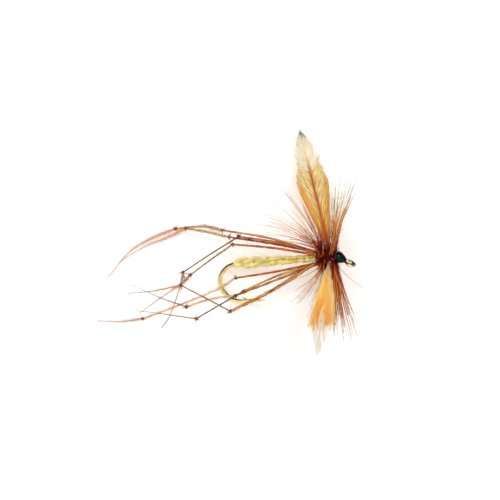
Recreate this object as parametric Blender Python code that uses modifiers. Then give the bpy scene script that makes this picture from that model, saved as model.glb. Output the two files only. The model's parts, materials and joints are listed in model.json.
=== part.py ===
"""Dry fly tied as a long-legged crane fly, lying on its side.

Units are metres, +Z is up. The origin is the centre of the hook's eye, +X runs from the tail
towards the eye and +Y is the side on which the far wing lies. Everything wound on the hook is
placed by its distance s along the wire from the middle of the hackle, positive towards the eye.
"""

import math

import bmesh
import bpy
import numpy as np
from mathutils import Matrix, Vector

for old in list(bpy.data.objects):
    bpy.data.objects.remove(old, do_unlink=True)

MM = 0.001

# Attitude: the nose is lifted by the hackle, the back of the fly rolls towards +Z.
NOSE_UP = math.radians(18.0)
BACK_ROLL = math.radians(15.0)
HEADING = math.radians(4.6)

# Hook: long-shank dry-fly hook with a down-turned ring eye.
WIRE_DIA = 0.00066
REAR_SHANK_LENGTH = 0.0144
FRONT_SHANK_LENGTH = 0.00103
BEND_RADIUS = 0.0029
SPEAR_FLARE = math.radians(1.0)
SPEAR_LENGTH = 0.0038
POINT_TAPER_LENGTH = 0.0026
POINT_DIA = 0.00006
BARB_FROM_POINT = 0.0028
BARB_LENGTH = 0.0010
BARB_RISE = math.radians(32.0)
BARB_DIA = 0.00030
NECK_DROP = math.radians(35.0)
NECK_BEND_RADIUS = 0.0010
NECK_LENGTH = 0.00120
EYE_WIRE_DIA = 0.00050
EYE_HOLE_DIA = 0.00085

# Windings: layer thicknesses, the clearance between layers and the gap between neighbours.
FIT = 0.00003
SIDE_GAP = 0.00005
THREAD_LAYER = 0.00006
ABDOMEN_TAIL_DIA = 0.00098
ABDOMEN_FULL_DIA = 0.00136
ABDOMEN_FRONT_DIA = 0.00106
ABDOMEN_REAR = 0.0143
DUBBING_PITCH = 0.0011
DUBBING_RIDGE = 0.00004
LEG_WRAP_DIA = 0.00236
LEG_WRAP_LENGTH = 0.00082
HACKLE_STEM_DIA = 0.00150
REAR_HACKLE_LENGTH = 0.00075
FRONT_HACKLE_LENGTH = 0.00062
WING_WRAP_DIA = 0.00140
WING_WRAP_LENGTH = 0.00042
HEAD_FULL_DIA = 0.00158
HEAD_FRONT_DIA = 0.00092
HEAD_LENGTH = 0.00130
VARNISH = 0.00005

# Hackle barbs: each collar is rows of barbs round a quill. The collar stands upright, and barbs
# that lie flat to either side fan out, forward in its front rows and back in its rear rows.
BARB_ROWS = 4
BARB_COLUMNS = 50
HACKLE_BARB_LENGTH = 0.0122
SWEEP_FRONT = math.radians(-16.0)
SWEEP_REAR = math.radians(46.0)
UPRIGHT_SWEEP = 0.12
WING_PARTING = math.radians(16.0)

# Wings: hackle points, given by their tips and by the way their faces look.
WING_LENGTH = 0.0192
WING_WIDTH = 0.0044
RACHIS_DIA = 0.00032
VANE_THICKNESS = 0.00010
VANE_CAMBER = 0.00030
FAR_WING_AIM = Vector((-4.4, 18.8, -5.3))
FAR_WING_FACE = Vector((0.0, 0.30, 0.95))
NEAR_WING_AIM = Vector((-2.2, -13.4, 13.6))
NEAR_WING_FACE = Vector((0.0, 0.68, 0.73))

# Legs: one feather fibre each, with two knots. Points are millimetres in the part's frame; the
# hip angle is measured round the shank from +Y towards +Z, and the bow is the femur's, towards +Y.
FEMUR_DIA = 0.00032
SHIN_DIA = 0.00022
FOOT_DIA = 0.00016
FIBRE_END_DIA = 0.00005
HIP_RING_DIA = 0.00190
KNOT_DIA = 0.00080
KNOT_STUB = 0.00028
KNOT_GAP = 0.00008
LEGS = (
    {"hip": -40, "bow": 0.45, "knee": (-18.87, 4.96, -6.2), "shin": [(-21.7, 5.55)],
     "ankle": (-25.9, 5.18, -6.35), "foot": [(-29.5, 3.75), (-32.8, 1.7)],
     "tip": (-36.0, -2.15, -6.5)},
    {"hip": -13, "bow": 0.1, "knee": (-17.83, 3.92, -5.5), "shin": [(-21.4, 4.74)],
     "ankle": (-24.3, 5.25, -5.65), "foot": [(-27.3, 3.77), (-30.3, 2.6)],
     "tip": (-34.3, 0.22, -5.8)},
    {"hip": 13, "bow": 0.3, "knee": (-16.4, 4.0, -4.4), "shin": [(-20.6, 1.4)],
     "ankle": (-24.7, -1.33, -4.9), "foot": [(-24.9, -2.74), (-26.6, -7.6)],
     "tip": (-27.9, -9.63, -5.2)},
    {"hip": 40, "bow": 0.2, "knee": (-17.3, 2.84, -3.6), "shin": [(-20.5, 0.6)],
     "ankle": (-23.6, -1.7, -4.2), "foot": [(-24.9, -3.03), (-28.0, -5.1)],
     "tip": (-31.3, -7.5, -4.5)},
    {"hip": -155, "bow": -0.15, "knee": (-16.84, -2.15, -2.9), "shin": [(-20.1, -4.07), (-26.9, -6.81)],
     "ankle": (-30.6, -8.18, -3.2), "foot": [(-34.0, -8.6)],
     "tip": (-37.4, -8.5, -3.4)},
    {"hip": 178, "bow": 0.0, "knee": (-16.87, -4.75, -2.2), "shin": [(-20.7, -5.27)],
     "ankle": (-24.1, -6.4, -2.5), "foot": [(-28.0, -5.05)],
     "tip": (-32.4, -3.1, -2.7)},
    {"hip": 151, "bow": 0.4, "knee": (-15.7, -4.07, -1.5), "shin": [(-19.2, -6.1)],
     "ankle": (-22.7, -8.14, -1.8), "foot": [(-28.2, -7.34)],
     "tip": (-31.9, -6.9, -2.0)},
    {"hip": 124, "bow": -0.4, "knee": (-17.6, -7.03, -0.8), "shin": [(-21.2, -5.1)],
     "ankle": (-24.9, -3.18, -1.1), "foot": [(-28.8, -4.0)],
     "tip": (-32.8, -4.4, -1.3)},
)

WIRE_R = WIRE_DIA / 2
EYE_R = (EYE_HOLE_DIA + EYE_WIRE_DIA) / 2
NECK_BEND_LENGTH = NECK_BEND_RADIUS * NECK_DROP
EYE_S = FRONT_SHANK_LENGTH + NECK_BEND_LENGTH + NECK_LENGTH + EYE_R
THREAD_R = WIRE_R + FIT + THREAD_LAYER
WRAP_BORE_R = THREAD_R + FIT

# Stations along the wire, each piece seated against the one before it.
FRONT_HACKLE_S = FRONT_SHANK_LENGTH
WING_WRAP_S = FRONT_HACKLE_S - FRONT_HACKLE_LENGTH - SIDE_GAP
REAR_HACKLE_S = WING_WRAP_S - WING_WRAP_LENGTH - SIDE_GAP
LEG_WRAP_S = REAR_HACKLE_S - REAR_HACKLE_LENGTH - SIDE_GAP
ABDOMEN_S = LEG_WRAP_S - LEG_WRAP_LENGTH - SIDE_GAP
HEAD_S = FRONT_HACKLE_S + SIDE_GAP
NOISE = np.random.default_rng(11)

parts = bpy.data.collections.new("dry_fly")
cutters = bpy.data.collections.new("dry_fly_cutters")
for collection in (parts, cutters):
    bpy.context.scene.collection.children.link(collection)


def principled(name, colour, roughness, metallic=0.0):
    """One Principled material with the piece's own colour."""
    material = bpy.data.materials.new(name)
    material.use_nodes = True
    shader = material.node_tree.nodes["Principled BSDF"]
    shader.inputs["Base Color"].default_value = (*colour, 1.0)
    shader.inputs["Roughness"].default_value = roughness
    shader.inputs["Metallic"].default_value = metallic
    return material


def add(name, data, look, parent=None, location=(0.0, 0.0, 0.0), collection=parts):
    """Link an object with its own material under its parent."""
    obj = bpy.data.objects.new(name, data)
    obj.parent = parent
    obj.location = location
    if data is not None and look is not None:
        data.materials.append(principled(name, *look))
    collection.objects.link(obj)
    return obj


def wire_frame(s):
    """Centre of the wire and its downward turn, in the shank's plane, at distance s."""
    turn = min(max((s - FRONT_SHANK_LENGTH) / NECK_BEND_RADIUS, 0.0), NECK_DROP)
    x = min(s, FRONT_SHANK_LENGTH) + NECK_BEND_RADIUS * math.sin(turn)
    y = -NECK_BEND_RADIUS * (1.0 - math.cos(turn))
    run = max(s - FRONT_SHANK_LENGTH - NECK_BEND_LENGTH, 0.0)
    return Vector((x + run * math.cos(turn), y - run * math.sin(turn), 0.0)), turn


def wrap_point(s, radius, angle):
    """Point at a radius and angle round the wire at distance s, in the shank frame."""
    centre, turn = wire_frame(s)
    out = Vector((math.sin(turn), math.cos(turn), 0.0))
    return centre + radius * (math.cos(angle) * out + math.sin(angle) * Vector((0, 0, 1)))


def face_out(bm):
    """Point every face of a bmesh outwards. At this size the signed volume decides the side."""
    bmesh.ops.recalc_face_normals(bm, faces=bm.faces)
    if bm.calc_volume(signed=True) < 0.0:
        bmesh.ops.reverse_faces(bm, faces=bm.faces)


def mesh_from(bm, name):
    """Close a bmesh into a smooth-shaded mesh with its faces pointing out."""
    face_out(bm)
    mesh = bpy.data.meshes.new(name)
    bm.to_mesh(mesh)
    bm.free()
    mesh.shade_smooth()
    mesh.set_sharp_from_angle(angle=math.radians(40.0))
    return mesh


def spun(outer, bore, steps):
    """Turn a hollow profile about X: outer (s, radius) points from rear to front, and a bore."""
    bm = bmesh.new()
    loop = list(outer) + [(outer[-1][0], bore[-1]), (outer[0][0], bore[0])]
    verts = [bm.verts.new((s, radius, 0.0)) for s, radius in loop]
    edges = [bm.edges.new((a, b)) for a, b in zip(verts, verts[1:] + verts[:1])]
    bmesh.ops.spin(bm, geom=verts + edges, cent=(0, 0, 0), axis=(1, 0, 0),
                   angle=math.tau, steps=steps, use_merge=True)
    bmesh.ops.remove_doubles(bm, verts=bm.verts, dist=1e-7)
    return bm


def lay_on_wire(bm):
    """Bend a piece turned about X so that it follows the wire through the neck."""
    for v in bm.verts:
        v.co = wrap_point(v.co.x, math.hypot(v.co.y, v.co.z), math.atan2(v.co.z, v.co.y))


def winding(name, outer, bore, steps, look):
    """A hollow layer of windings on the wire."""
    bm = spun(outer, bore, steps)
    lay_on_wire(bm)
    return add(name, mesh_from(bm, name), look, shank_frame)


def tube(name, points, radii, resolution, look, parent=None, origin=Vector()):
    """A tapered fibre or wire: a poly curve with a round section and filled ends."""
    curve = bpy.data.curves.new(name, "CURVE")
    curve.dimensions = "3D"
    curve.bevel_depth = max(radii)
    curve.bevel_resolution = resolution
    curve.use_fill_caps = True
    spline = curve.splines.new("POLY")
    spline.points.add(len(points) - 1)
    for knot, point, radius in zip(spline.points, points, radii):
        knot.co = (*(Vector(point) - origin), 1.0)
        knot.radius = radius / curve.bevel_depth
    return add(name, curve, look, parent)


def solid_from(curve_obj):
    """Turn a curve object into a welded mesh object of the same name, place and material."""
    depsgraph = bpy.context.evaluated_depsgraph_get()
    mesh = bpy.data.meshes.new_from_object(curve_obj.evaluated_get(depsgraph))
    bm = bmesh.new()
    bm.from_mesh(mesh)
    bmesh.ops.remove_doubles(bm, verts=bm.verts, dist=1e-7)
    face_out(bm)
    bm.to_mesh(mesh)
    bm.free()
    name, parent = curve_obj.name, curve_obj.parent
    bpy.data.objects.remove(curve_obj, do_unlink=True)
    mesh.shade_smooth()
    return add(name, mesh, None, parent)


def join(obj, name, mesh):
    """Unite a helper shape with an object by a Boolean."""
    helper = add(name, mesh, None, obj.parent, collection=cutters)
    helper.hide_render = True
    helper.display_type = "WIRE"
    union = obj.modifiers.new(name, "BOOLEAN")
    union.operation = "UNION"
    union.solver = "EXACT"
    union.object = helper


def smooth_run(points, count):
    """Points along a Catmull-Rom curve through the given ones, evenly spaced in its parameter."""
    pts = np.array([tuple(p) for p in points])
    pts = np.vstack([2 * pts[0] - pts[1], pts, 2 * pts[-1] - pts[-2]])
    run = []
    for u in np.linspace(0.0, len(points) - 1.0, count):
        i = min(int(u), len(points) - 2)
        t = u - i
        a, b, c, d = pts[i:i + 4]
        run.append(Vector(0.5 * (2 * b + (c - a) * t + (2 * a - 5 * b + 4 * c - d) * t * t
                                 + (3 * b - a - 3 * c + d) * t ** 3)))
    return run


# The shank frame: X along the shank towards the eye, Y out of the fly's back.
turned = (Matrix.Rotation(HEADING, 3, "Z") @ Matrix.Rotation(-NOSE_UP, 3, "Y")
          @ Matrix.Rotation(BACK_ROLL, 3, "X"))
shank_frame = bpy.data.objects.new("shank_frame", None)
shank_frame.matrix_world = (
    Matrix.Translation(-(turned @ wire_frame(EYE_S)[0])) @ turned.to_4x4())
parts.objects.link(shank_frame)
to_world = shank_frame.matrix_world.copy()


def hook_route():
    """Wire from the point round the bend and along the shank to the eye, with its radii."""
    centre = Vector((-REAR_SHANK_LENGTH, -BEND_RADIUS, 0.0))
    start = math.radians(270.0) - SPEAR_FLARE
    arc = []
    for angle in np.linspace(start, math.radians(90.0), 20):
        arc.append(centre + BEND_RADIUS * Vector((math.cos(angle), math.sin(angle), 0.0)))
    along = Vector((math.cos(SPEAR_FLARE), -math.sin(SPEAR_FLARE), 0.0))
    point = arc[0] + SPEAR_LENGTH * along
    spear = [point - along * d for d in np.linspace(0.0, POINT_TAPER_LENGTH, 5)]
    taper = [POINT_DIA / 2 + (WIRE_R - POINT_DIA / 2) * (i / 4) ** 0.8 for i in range(5)]
    shank = [wire_frame(s)[0] for s in np.linspace(-REAR_SHANK_LENGTH, FRONT_SHANK_LENGTH, 5)[1:]]
    neck_end = FRONT_SHANK_LENGTH + NECK_BEND_LENGTH + NECK_LENGTH
    neck = [wire_frame(s)[0] for s in np.linspace(FRONT_SHANK_LENGTH, neck_end, 8)[1:]]
    narrow = list(np.linspace(WIRE_R, EYE_WIRE_DIA / 2, 8)[1:])
    points = spear + arc + shank + neck
    radii = taper + [WIRE_R] * (len(arc) + len(shank)) + narrow
    return points, radii, point, along


def hook():
    """Bronzed wire hook: spear and point, round bend, shank, neck, ring eye and barb."""
    points, radii, point, along = hook_route()
    wire = solid_from(tube("hook", points, radii, 2, ((0.30, 0.20, 0.07), 0.30, 1.0), shank_frame))
    bpy.ops.mesh.primitive_torus_add(major_radius=EYE_R, minor_radius=EYE_WIRE_DIA / 2,
                                     major_segments=20, minor_segments=8)
    ring = bpy.context.object
    eye_mesh = ring.data
    bpy.data.objects.remove(ring, do_unlink=True)
    centre, turn = wire_frame(EYE_S)
    stand = Matrix.Rotation(-turn, 4, "Z") @ Matrix.Rotation(math.radians(90.0), 4, "X")
    eye_mesh.transform(Matrix.Translation(centre) @ stand)
    join(wire, "eye_ring", eye_mesh)
    bm = bmesh.new()
    bmesh.ops.create_cone(bm, cap_ends=True, segments=5, radius1=BARB_DIA / 2,
                          radius2=POINT_DIA / 2, depth=BARB_LENGTH)
    back = Vector((-math.cos(BARB_RISE), math.sin(BARB_RISE), 0.0))
    root = point - BARB_FROM_POINT * along + Vector((0.0, 0.25 * WIRE_R, 0.0))
    place = Matrix.Translation(root + back * BARB_LENGTH / 2)
    bm.transform(place @ back.to_track_quat("Z", "Y").to_matrix().to_4x4())
    join(wire, "barb", mesh_from(bm, "barb"))
    return min((to_world @ p).z - r for p, r in zip(points, radii))


def thread_base():
    """One layer of tying thread on the bare wire, from the bend to the neck."""
    rear, r = -REAR_SHANK_LENGTH, THREAD_R
    outer = [(rear, r), (rear / 2, r), (FRONT_SHANK_LENGTH, r)]
    winding("thread_base", outer, (WIRE_R + FIT,) * 2, 16, ((0.05, 0.07, 0.04), 0.6))


def abdomen_dubbing():
    """Yellow fur spun on thread and wound forward, full at the tail and thin at the thorax."""
    def radius(q):
        swell = math.sin(math.pi * min(q / 0.28, 1.0) / 2)
        back = ABDOMEN_TAIL_DIA + (ABDOMEN_FULL_DIA - ABDOMEN_TAIL_DIA) * swell
        return (back + (ABDOMEN_FRONT_DIA - ABDOMEN_FULL_DIA) * max(q - 0.15, 0.0) / 0.85) / 2
    rear, front = -ABDOMEN_REAR, ABDOMEN_S
    outer = [(rear + q * (front - rear), radius(q)) for q in np.linspace(0.0, 1.0, 46)]
    bm = spun(outer, (WRAP_BORE_R,) * 2, 14)
    for v in bm.verts:
        r = math.hypot(v.co.y, v.co.z)
        if r > WRAP_BORE_R + DUBBING_RIDGE:
            turn = math.tau * v.co.x / DUBBING_PITCH - math.atan2(v.co.z, v.co.y)
            swollen = 1.0 + DUBBING_RIDGE / r * math.cos(turn)
            v.co.y *= swollen
            v.co.z *= swollen
    add("abdomen_dubbing", mesh_from(bm, "abdomen_dubbing"),
        ((0.80, 0.58, 0.16), 0.9), shank_frame)


def leg_wraps():
    """Thread turns that bind the butts of the eight legs, thickest where the legs come out."""
    full, front = LEG_WRAP_DIA / 2, HACKLE_STEM_DIA / 2
    rear = LEG_WRAP_S - LEG_WRAP_LENGTH
    outer = [(rear, full), (rear + 0.2 * LEG_WRAP_LENGTH, full),
             (rear + 0.6 * LEG_WRAP_LENGTH, 0.45 * full + 0.55 * front), (LEG_WRAP_S, front)]
    winding("leg_wraps", outer, (WRAP_BORE_R,) * 2, 20, ((0.10, 0.03, 0.015), 0.6))


def wing_wraps():
    """Thread turns between the two hackles, which hold the butts of the wings."""
    r = WING_WRAP_DIA / 2
    rear = WING_WRAP_S - WING_WRAP_LENGTH
    outer = [(rear, 0.94 * r), (rear + 0.3 * WING_WRAP_LENGTH, r),
             (rear + 0.7 * WING_WRAP_LENGTH, r), (WING_WRAP_S, 0.94 * r)]
    winding("wing_wraps", outer, (WRAP_BORE_R,) * 2, 20, ((0.10, 0.03, 0.015), 0.6))


def head_radius(q):
    """Radius of the thread head from its rear (0) to its front (1)."""
    swell = math.sin(math.pi / 2 * min(0.75 + q, 1.0))
    fall = max(q - 0.3, 0.0) / 0.7
    return (HEAD_FULL_DIA * swell + (HEAD_FRONT_DIA - HEAD_FULL_DIA) * fall ** 1.3) / 2


def head():
    """Whip-finished thread head on the neck, under a coat of dark varnish."""
    stations = np.linspace(0.0, 1.0, 9)
    outer = [(HEAD_S + q * HEAD_LENGTH, head_radius(q)) for q in stations]
    winding("head_thread", outer, (WIRE_R + FIT,) * 2, 20, ((0.01, 0.03, 0.012), 0.5))
    coat = [(s, r + FIT + VARNISH) for s, r in outer[1:]]
    bm = bmesh.new()
    inner = [(s, r + FIT) for s, r in reversed(outer[1:])]
    verts = [bm.verts.new((s, r, 0.0)) for s, r in coat + inner]
    edges = [bm.edges.new((a, b)) for a, b in zip(verts, verts[1:] + verts[:1])]
    bmesh.ops.spin(bm, geom=verts + edges, cent=(0, 0, 0), axis=(1, 0, 0),
                   angle=math.tau, steps=20, use_merge=True)
    bmesh.ops.remove_doubles(bm, verts=bm.verts, dist=1e-7)
    lay_on_wire(bm)
    add("head_varnish", mesh_from(bm, "head_varnish"), ((0.005, 0.02, 0.008), 0.08), shank_frame)


def wing_aims():
    """Angles of the two wings round the shank, where the hackle is parted."""
    local = turned.inverted()
    aims = [local @ aim for aim in (FAR_WING_AIM, NEAR_WING_AIM)]
    return [math.atan2(aim.z, aim.y) for aim in aims]


def hackle(name, front, length, first_row, floor, look):
    """A wound hackle: a quill collar whose facets are drawn out into tapered, curved barbs."""
    step = length / BARB_ROWS
    stem = HACKLE_STEM_DIA / 2
    outer = [(front - length + i * step, stem) for i in range(BARB_ROWS + 1)]
    bm = spun(outer, (WRAP_BORE_R,) * 2, BARB_COLUMNS)
    cells = [f for f in bm.faces
             if all(math.hypot(v.co.y, v.co.z) > stem - 1e-7 for v in f.verts)]
    aims = wing_aims()
    count = 0
    for cell in cells:
        base = cell.calc_center_median()
        row = first_row + int((front - base.x) / step)
        share = (row + NOISE.uniform(-0.3, 0.3)) / (2 * BARB_ROWS - 1)
        angle = math.atan2(base.z, base.y) + NOISE.uniform(-0.3, 0.3) * math.tau / BARB_COLUMNS
        reach = HACKLE_BARB_LENGTH * NOISE.uniform(0.72, 1.0)
        if any(abs(math.remainder(angle - aim, math.tau)) < WING_PARTING for aim in aims):
            continue
        out = Vector((0.0, math.cos(angle), math.sin(angle)))
        upright = math.atan((turned @ out).x / turned[0][0])
        flat = abs(math.cos(angle + BACK_ROLL)) ** 1.5
        sweep = SWEEP_FRONT + (SWEEP_REAR - SWEEP_FRONT) * max(share, 0.0)
        lean = upright + sweep * (UPRIGHT_SWEEP + (1.0 - UPRIGHT_SWEEP) * flat)
        bow = [out * math.cos(a) - Vector((math.sin(a), 0, 0)) for a in (0.7 * lean, 1.3 * lean)]
        middle = bow[0] * 0.45 * reach
        tip = middle + bow[1] * 0.55 * reach
        drop = (to_world @ base).z - floor
        sink = -(turned @ tip).z
        cut = min(1.0, drop / sink) if sink > 0.0 else 1.0
        spread = [v.co - base for v in cell.verts]
        for place, share in ((base + middle * cut, 0.45), (base + tip * cut, 0.15)):
            cell = bmesh.ops.extrude_discrete_faces(bm, faces=[cell])["faces"][0]
            for v, offset in zip(cell.verts, spread):
                v.co = place + offset * share
        count += 1
    add(name, mesh_from(bm, name), look, shank_frame)
    return count


def wing(name, aim, face, look):
    """A hackle point: one thin cambered vane, thickened along its rachis, on a bare quill."""
    seat = to_world @ wire_frame(WING_WRAP_S - WING_WRAP_LENGTH / 2)[0]
    along = aim.normalized()
    shank_dir = turned @ Vector((1, 0, 0))
    out = (along - along.dot(shank_dir) * shank_dir).normalized()
    normal = (face - face.dot(along) * along).normalized()
    side = along.cross(normal)
    base = seat + out * (WING_WRAP_DIA / 2 + SIDE_GAP)
    hinge = bpy.data.objects.new(name + "_hinge", None)
    hinge.matrix_world = Matrix.Translation(base) @ Matrix((side, along, normal)).transposed().to_4x4()
    parts.objects.link(hinge)
    bm = bmesh.new()
    bmesh.ops.create_grid(bm, x_segments=10, y_segments=30, size=1.0)
    rachis_share = {}
    for v in bm.verts:
        t, q = v.co.x, (v.co.y + 1.0) / 2
        opened = min(max(q - 0.06, 0.0) / 0.38, 1.0)
        closed = 1.0 - max((q - 0.44) / 0.56, 0.0) ** 3
        half = WING_WIDTH / 2 * math.sin(math.pi / 2 * opened) ** 0.8 * closed
        notch = 1.0 - 0.10 * (round(q * 30) % 2) * abs(t) ** 4
        width = max(half * notch, RACHIS_DIA / 2 * (1.0 - 0.8 * q))
        rachis_share[v.index] = max(1.0 - 0.8 * q, 0.0) if abs(t) < 0.1 or half == 0.0 else 0.0
        arch = VANE_CAMBER * (1.0 - t * t) * min(opened, closed)
        v.co = Vector((t * width, q * WING_LENGTH, arch))
    mesh = mesh_from(bm, name)
    obj = add(name, mesh, look, hinge)
    group = obj.vertex_groups.new(name="rachis")
    for index, share in rachis_share.items():
        group.add([index], share, "REPLACE")
    shell = obj.modifiers.new("vane", "SOLIDIFY")
    shell.thickness = RACHIS_DIA
    shell.offset = 0.0
    shell.vertex_group = "rachis"
    shell.thickness_vertex_group = VANE_THICKNESS / RACHIS_DIA
    return hinge


def knot(name, centre, ways, parent, origin, look):
    """An overhand knot in a fibre: a three-lobed lump with stubs of flue standing off it."""
    bm = bmesh.new()
    bmesh.ops.create_icosphere(bm, subdivisions=2, radius=KNOT_DIA / 2)
    line = (ways[1] - ways[0]).normalized()
    for v in bm.verts:
        way = v.co.normalized()
        lobes = math.cos(3.0 * math.atan2(way.cross(line).z, way.dot(line)) + 2.0 * way.z)
        v.co *= 0.94 + 0.06 * lobes
    clear = [f for f in bm.faces
             if abs(f.normal.z) < 0.55 and all(f.normal.dot(way) < 0.35 for way in ways)]
    for face in clear[::max(len(clear) // 4, 1)][:4]:
        base, normal = face.calc_center_median(), face.normal.copy()
        spread = [v.co - base for v in face.verts]
        stub = bmesh.ops.extrude_discrete_faces(bm, faces=[face])["faces"][0]
        for v, offset in zip(stub.verts, spread):
            v.co = base + normal * KNOT_STUB + 0.3 * offset
    bm.transform(Matrix.Translation(centre - origin))
    add(name, mesh_from(bm, name), look, parent)


def trimmed(points, start, end):
    """Shorten a run of points by a length at each end."""
    head_way = (points[1] - points[0]).normalized()
    tail_way = (points[-2] - points[-1]).normalized()
    return [points[0] + head_way * start] + points[1:-1] + [points[-1] + tail_way * end]


def leg(number, plan):
    """One knotted fibre: femur and knee knot swing at the hip, the rest bends at the knee."""
    name = "leg_%d_" % number
    fibre = ((0.30, 0.13, 0.04), 0.6)
    dark = ((0.12, 0.03, 0.015), 0.6)
    seat_s = LEG_WRAP_S - LEG_WRAP_LENGTH - SIDE_GAP - FEMUR_DIA / 2
    hip = to_world @ wrap_point(seat_s, HIP_RING_DIA / 2, math.radians(plan["hip"]))
    knee, ankle, tip = (Vector(plan[k]) * MM for k in ("knee", "ankle", "tip"))
    hip_frame = bpy.data.objects.new(name + "hip", None)
    hip_frame.location = hip
    knee_frame = bpy.data.objects.new(name + "knee", None)
    knee_frame.parent = hip_frame
    knee_frame.location = knee - hip
    for empty in (hip_frame, knee_frame):
        parts.objects.link(empty)

    def through(a, middle, b, count):
        steps = [(i + 1) / (len(middle) + 1) for i in range(len(middle))]
        inner = [Vector((x * MM, y * MM, a.z + (b.z - a.z) * q)) for (x, y), q in zip(middle, steps)]
        return smooth_run([a] + inner + [b], count)

    off_knot = KNOT_DIA / 2 + KNOT_GAP
    bow = [hip.lerp(knee, 0.5) + Vector((0.0, plan["bow"] * MM, 0.0))]
    femur = trimmed(smooth_run([hip] + bow + [knee], 8), 0.0, off_knot)
    shin = trimmed(through(knee, plan["shin"], ankle, 7), off_knot, off_knot)
    foot = trimmed(through(ankle, plan["foot"], tip, 8), off_knot, 0.0)
    femur_r = np.linspace(FEMUR_DIA, SHIN_DIA * 1.15, 8) / 2
    shin_r = np.linspace(SHIN_DIA, FOOT_DIA * 1.1, 7) / 2
    foot_r = np.linspace(FOOT_DIA, FIBRE_END_DIA, 8) / 2
    tube(name + "upper", femur, femur_r, 1, fibre, hip_frame, hip)
    tube(name + "middle", shin, shin_r, 1, fibre, knee_frame, knee)
    tube(name + "tip", foot, foot_r, 1, fibre, knee_frame, knee)
    at_knee = [(femur[-2] - knee).normalized(), (shin[1] - knee).normalized()]
    at_ankle = [(shin[-2] - ankle).normalized(), (foot[1] - ankle).normalized()]
    knot(name + "knee_knot", knee, at_knee, hip_frame, hip, dark)
    knot(name + "ankle_knot", ankle, at_ankle, knee_frame, knee, dark)


floor_z = hook()
thread_base()
abdomen_dubbing()
leg_wraps()
wing_wraps()
head()
ginger = ((0.30, 0.06, 0.012), 0.45)
strands = hackle("front_hackle", FRONT_HACKLE_S, FRONT_HACKLE_LENGTH, 0, floor_z, ginger)
strands += hackle("rear_hackle", REAR_HACKLE_S, REAR_HACKLE_LENGTH, BARB_ROWS, floor_z, ginger)
golden = ((0.72, 0.36, 0.10), 0.55)
wing("wing_far", FAR_WING_AIM, FAR_WING_FACE, golden)
wing("wing_near", NEAR_WING_AIM, NEAR_WING_FACE, golden)
for index, plan in enumerate(LEGS, 1):
    leg(index, plan)
print("hackle barbs:", strands)
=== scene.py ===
"""Dry fly tied as a long-legged crane fly, lying on its side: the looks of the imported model.

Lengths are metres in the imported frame: the origin is the centre of the hook's eye, +X runs from
the tail towards the eye and +Z is up. The sections follow the fly as it is tied, from the bare
hook to the varnished head.
"""

import json
import math

import bpy
import numpy as np
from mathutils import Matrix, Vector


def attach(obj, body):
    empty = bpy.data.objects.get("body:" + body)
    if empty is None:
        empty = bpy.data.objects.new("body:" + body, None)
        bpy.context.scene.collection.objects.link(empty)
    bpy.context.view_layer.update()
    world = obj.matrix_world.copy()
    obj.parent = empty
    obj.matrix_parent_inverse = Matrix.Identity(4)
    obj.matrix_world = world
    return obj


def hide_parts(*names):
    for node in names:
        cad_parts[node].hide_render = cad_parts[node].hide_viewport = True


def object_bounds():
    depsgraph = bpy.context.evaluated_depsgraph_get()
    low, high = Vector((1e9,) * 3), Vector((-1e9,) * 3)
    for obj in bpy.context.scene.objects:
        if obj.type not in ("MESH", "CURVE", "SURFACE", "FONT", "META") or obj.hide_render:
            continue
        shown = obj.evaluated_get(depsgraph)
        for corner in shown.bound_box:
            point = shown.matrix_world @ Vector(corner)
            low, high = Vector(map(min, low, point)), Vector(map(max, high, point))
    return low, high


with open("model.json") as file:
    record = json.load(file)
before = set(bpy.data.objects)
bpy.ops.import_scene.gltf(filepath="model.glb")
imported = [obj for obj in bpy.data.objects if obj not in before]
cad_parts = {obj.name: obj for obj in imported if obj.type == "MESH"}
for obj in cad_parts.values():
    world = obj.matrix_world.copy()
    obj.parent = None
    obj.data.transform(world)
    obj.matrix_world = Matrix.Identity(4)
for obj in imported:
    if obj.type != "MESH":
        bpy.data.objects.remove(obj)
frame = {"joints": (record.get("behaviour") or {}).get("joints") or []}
cad_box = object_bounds()

# Table, light and camera
# The fly lies on a plain white board in a pale room; the wall behind shows dark in polished metal.
# A broad soft lamp stands at the upper left and a small bright one at the upper right. The camera
# looks straight down.
scene = bpy.context.scene
scene.view_settings.view_transform = "Standard"
lying_gap = 0.00002
board_level = cad_box[0][2] - lying_gap
board_half, board_cells = 1.5, 6
board_seen, board_glow = (0.66, 0.80, 0.94, 1.0), (0.47, 0.32, 0.19, 1.0)
room_light, room_seen = 0.80, 1.0
wall_way, wall_edge, wall_shade = (0.0, -0.55, 1.0), (0.42, 0.56), 0.96
lamps = (("soft_lamp", 0.26, 0.36, (-0.21, 0.19, 0.36)),
         ("small_lamp", 0.055, 0.34, (0.10, 0.16, 0.36)))
lamp_tint = (1.0, 0.985, 0.96)
view_centre, view_level = (-0.01473, 0.0020), -0.003
view_width, camera_height = 0.074, 0.300


def node(tree, kind, inputs=None, **settings):
    """Add a shader node. Settings are its properties; an input is a value or another's output."""
    made = tree.nodes.new("ShaderNode" + kind)
    for key, value in settings.items():
        setattr(made, key, value)
    for key, value in (inputs or {}).items():
        if isinstance(value, bpy.types.NodeSocket):
            tree.links.new(value, made.inputs[key])
        else:
            made.inputs[key].default_value = value
    return made


def calc(tree, operation, *terms):
    """One step of arithmetic on terms that are numbers or other nodes' outputs."""
    return node(tree, "Math", dict(enumerate(terms)), operation=operation).outputs[0]


def remap(tree, value, low, high, to_low=0.0, to_high=1.0):
    """A value carried from one range into another, in proportion, and held within it."""
    ends = {"Value": value, "From Min": low, "From Max": high, "To Min": to_low, "To Max": to_high}
    return node(tree, "MapRange", ends).outputs["Result"]


def blended(tree, share, first, second):
    """Two colours mixed by a share: the first where it is 0, the second where it is 1."""
    return node(tree, "Mix", {0: share, 6: first, 7: second}, data_type="RGBA").outputs[2]


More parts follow.
